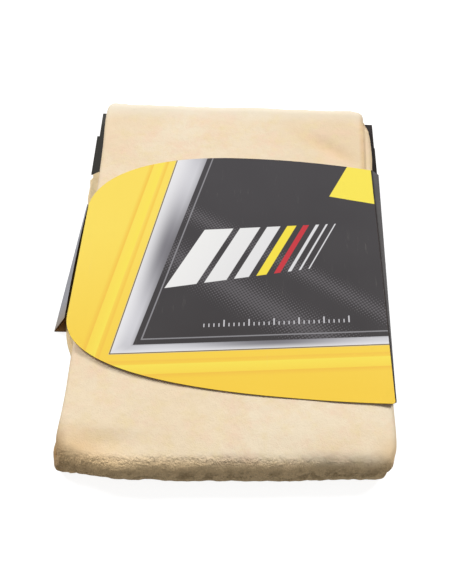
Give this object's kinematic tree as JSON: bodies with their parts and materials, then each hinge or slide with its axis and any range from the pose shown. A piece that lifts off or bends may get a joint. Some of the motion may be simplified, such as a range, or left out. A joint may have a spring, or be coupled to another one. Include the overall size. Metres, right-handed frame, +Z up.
{
  "type": "chamois leather",
  "caption": "Soft chamois skin folded into a flat pad and held in a printed card sleeve that slides off and opens at its creases.",
  "frame": {"origin": "under the middle of the folded skin, in the plane of the sleeve's underside", "axes": "+Y from the near rolled end to the far rolled end, along which the sleeve slides; +Z up; +X towards the sleeve's creased side, away from its glued seam"},
  "size_m": [0.2267, 0.3127, 0.0255],
  "materials": {
    "chamois": "soft suede nap, matte",
    "printed_card": "coated folding board printed charcoal, yellow and silver, satin",
    "hot_melt_glue": "amber-white glue, glossy"
  },
  "bodies": {
    "skin": {"chamois_skin": "chamois"},
    "sleeve_back": {"back_panel": "printed_card", "header_flap": "printed_card", "left_wall": "printed_card", "glue_flap": "printed_card", "glue_spot_1": "hot_melt_glue", "glue_spot_2": "hot_melt_glue", "glue_spot_3": "hot_melt_glue"},
    "sleeve_side": {"right_wall": "printed_card"},
    "sleeve_front": {"front_panel": "printed_card"}
  },
  "joints": [
    {"name": "sleeve_slide", "type": "slide", "parent": "skin", "child": "sleeve_back", "axis": [0, 1, 0], "range_m": [-0.315, 0.268]},
    {"name": "back_crease", "type": "hinge", "parent": "sleeve_back", "child": "sleeve_side", "pos_m": [0.10757, 0, 0.00025], "axis": [0.0113, 0.9999, 0], "range_deg": [0, 101]},
    {"name": "front_crease", "type": "hinge", "parent": "sleeve_side", "child": "sleeve_front", "pos_m": [0.10007, 0, 0.02525], "axis": [-0.0144, 0.9999, 0], "range_deg": [0, 79]}
  ]
}
